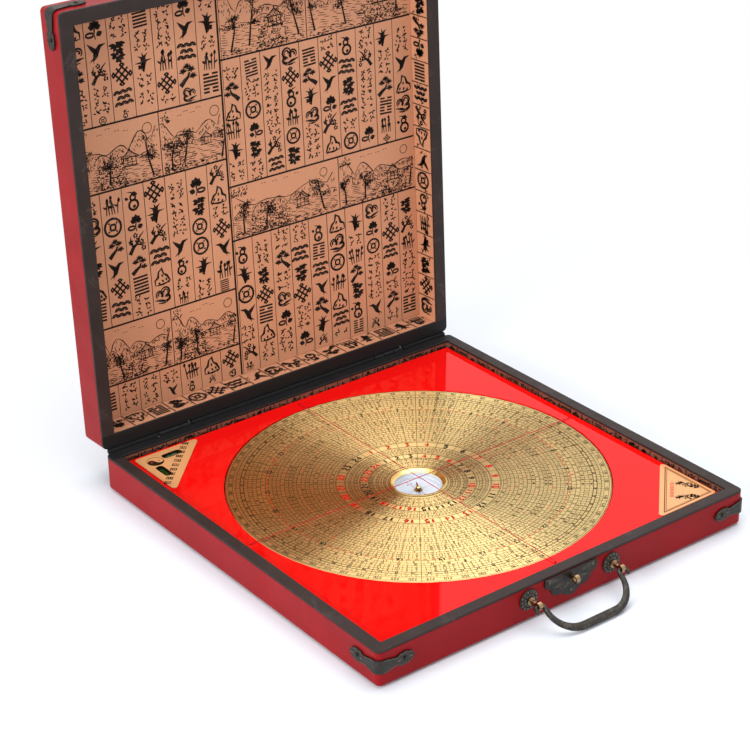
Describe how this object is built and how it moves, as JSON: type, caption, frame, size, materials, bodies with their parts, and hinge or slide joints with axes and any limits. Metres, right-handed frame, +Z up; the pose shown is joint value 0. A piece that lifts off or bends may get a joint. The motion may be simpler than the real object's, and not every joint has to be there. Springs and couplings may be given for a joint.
{
  "type": "feng shui compass",
  "caption": "Square hinged case holding a loose board with a round gold dial, a glazed compass at its centre, cross threads and spirit vials, with a bail handle and hasp.",
  "frame": {"origin": "centre of the case's underside", "axes": "+X to the right as seen from the handle, -Y towards the handle, +Z up out of the base tray"},
  "size_m": [0.3098, 0.3777, 0.3397],
  "materials": {
    "fibreboard": "raw",
    "red_leather": "semi-gloss grained",
    "dark_banding": "satin",
    "tan_paper": "matt printed",
    "black_sheet": "matt",
    "dark_bronze": "antiqued",
    "brass": "polished",
    "red_lacquer": "high gloss coat",
    "gold_plate": "circular brushed",
    "dial_backing": "raw",
    "white_card": "matt",
    "clear_glass": "clear",
    "blued_steel": "polished",
    "red_thread": "matt",
    "label_foil": "satin foil",
    "vial_glass": "clear"
  },
  "bodies": {
    "case_base": {"base_frame": "fibreboard", "base_floor": "fibreboard", "base_side_wrap": "red_leather", "base_underside": "black_sheet", "base_rim_band": "dark_banding", "base_wall_lining": "tan_paper", "base_floor_lining": "tan_paper", "base_guard_left": "dark_bronze", "base_guard_left_nail_front": "dark_bronze", "base_guard_left_nail_side": "dark_bronze", "base_guard_right": "dark_bronze", "base_guard_right_nail_front": "dark_bronze", "base_guard_right_nail_side": "dark_bronze", "latch_plate": "dark_bronze", "latch_staple": "brass", "rosette_left": "dark_bronze", "rosette_right": "dark_bronze", "eye_post_left": "brass", "eye_post_right": "brass", "hinge_left_base_leaf": "dark_bronze", "hinge_left_pin": "dark_bronze", "hinge_right_base_leaf": "dark_bronze", "hinge_right_pin": "dark_bronze", "hinge_tape": "black_sheet"},
    "lid": {"lid_frame": "fibreboard", "lid_top": "fibreboard", "lid_wrap": "red_leather", "lid_rim_band": "dark_banding", "lid_wall_lining": "tan_paper", "lid_floor_lining": "tan_paper", "lid_guard_left": "dark_bronze", "lid_guard_left_nail_front": "dark_bronze", "lid_guard_left_nail_side": "dark_bronze", "lid_guard_right": "dark_bronze", "lid_guard_right_nail_front": "dark_bronze", "lid_guard_right_nail_side": "dark_bronze", "hinge_left_lid_leaf": "dark_bronze", "hinge_right_lid_leaf": "dark_bronze", "hasp_plate": "dark_bronze", "hasp_pin": "brass"},
    "hasp": {"hasp_tongue": "dark_bronze"},
    "bail": {"bail": "dark_bronze"},
    "compass_board": {"compass_board": "red_lacquer", "centre_bush": "brass", "thread_across": "red_thread", "thread_along": "red_thread", "label_back_left": "label_foil", "label_front_right": "label_foil", "vial_back": "vial_glass", "vial_side": "vial_glass"},
    "dial": {"dial_disc": "dial_backing", "dial_face": "gold_plate", "capsule_cup": "brass", "floor_card": "white_card", "needle_pivot": "brass", "capsule_glass": "clear_glass", "capsule_bezel": "brass"},
    "needle": {"needle": "blued_steel", "needle_cap": "brass"}
  },
  "joints": [
    {"name": "lid_hinge", "type": "hinge", "parent": "case_base", "child": "lid", "pos_m": [0, 0.156, 0.0266], "axis": [-1, 0, 0], "range_deg": [-92.1, 0]},
    {"name": "hasp_flip", "type": "hinge", "parent": "lid", "child": "hasp", "pos_m": [-0.0015, 0.17004, 0.33849], "axis": [-1, 0, 0], "range_deg": [-180, 0]},
    {"name": "bail_swing", "type": "hinge", "parent": "case_base", "child": "bail", "pos_m": [-0.0015, -0.164, 0.0165], "axis": [-1, 0, 0], "range_deg": [0, 124]},
    {"name": "board_lift", "type": "slide", "parent": "case_base", "child": "compass_board", "axis": [0, 0, 1], "range_m": [0, 0.045]},
    {"name": "dial_spin", "type": "hinge", "parent": "compass_board", "child": "dial", "pos_m": [0, 0, 0.0152], "axis": [0, 0, 1], "continuous": true},
    {"name": "needle_swing", "type": "hinge", "parent": "dial", "child": "needle", "pos_m": [0, 0, 0.0139], "axis": [0, 0, 1], "continuous": true}
  ]
}
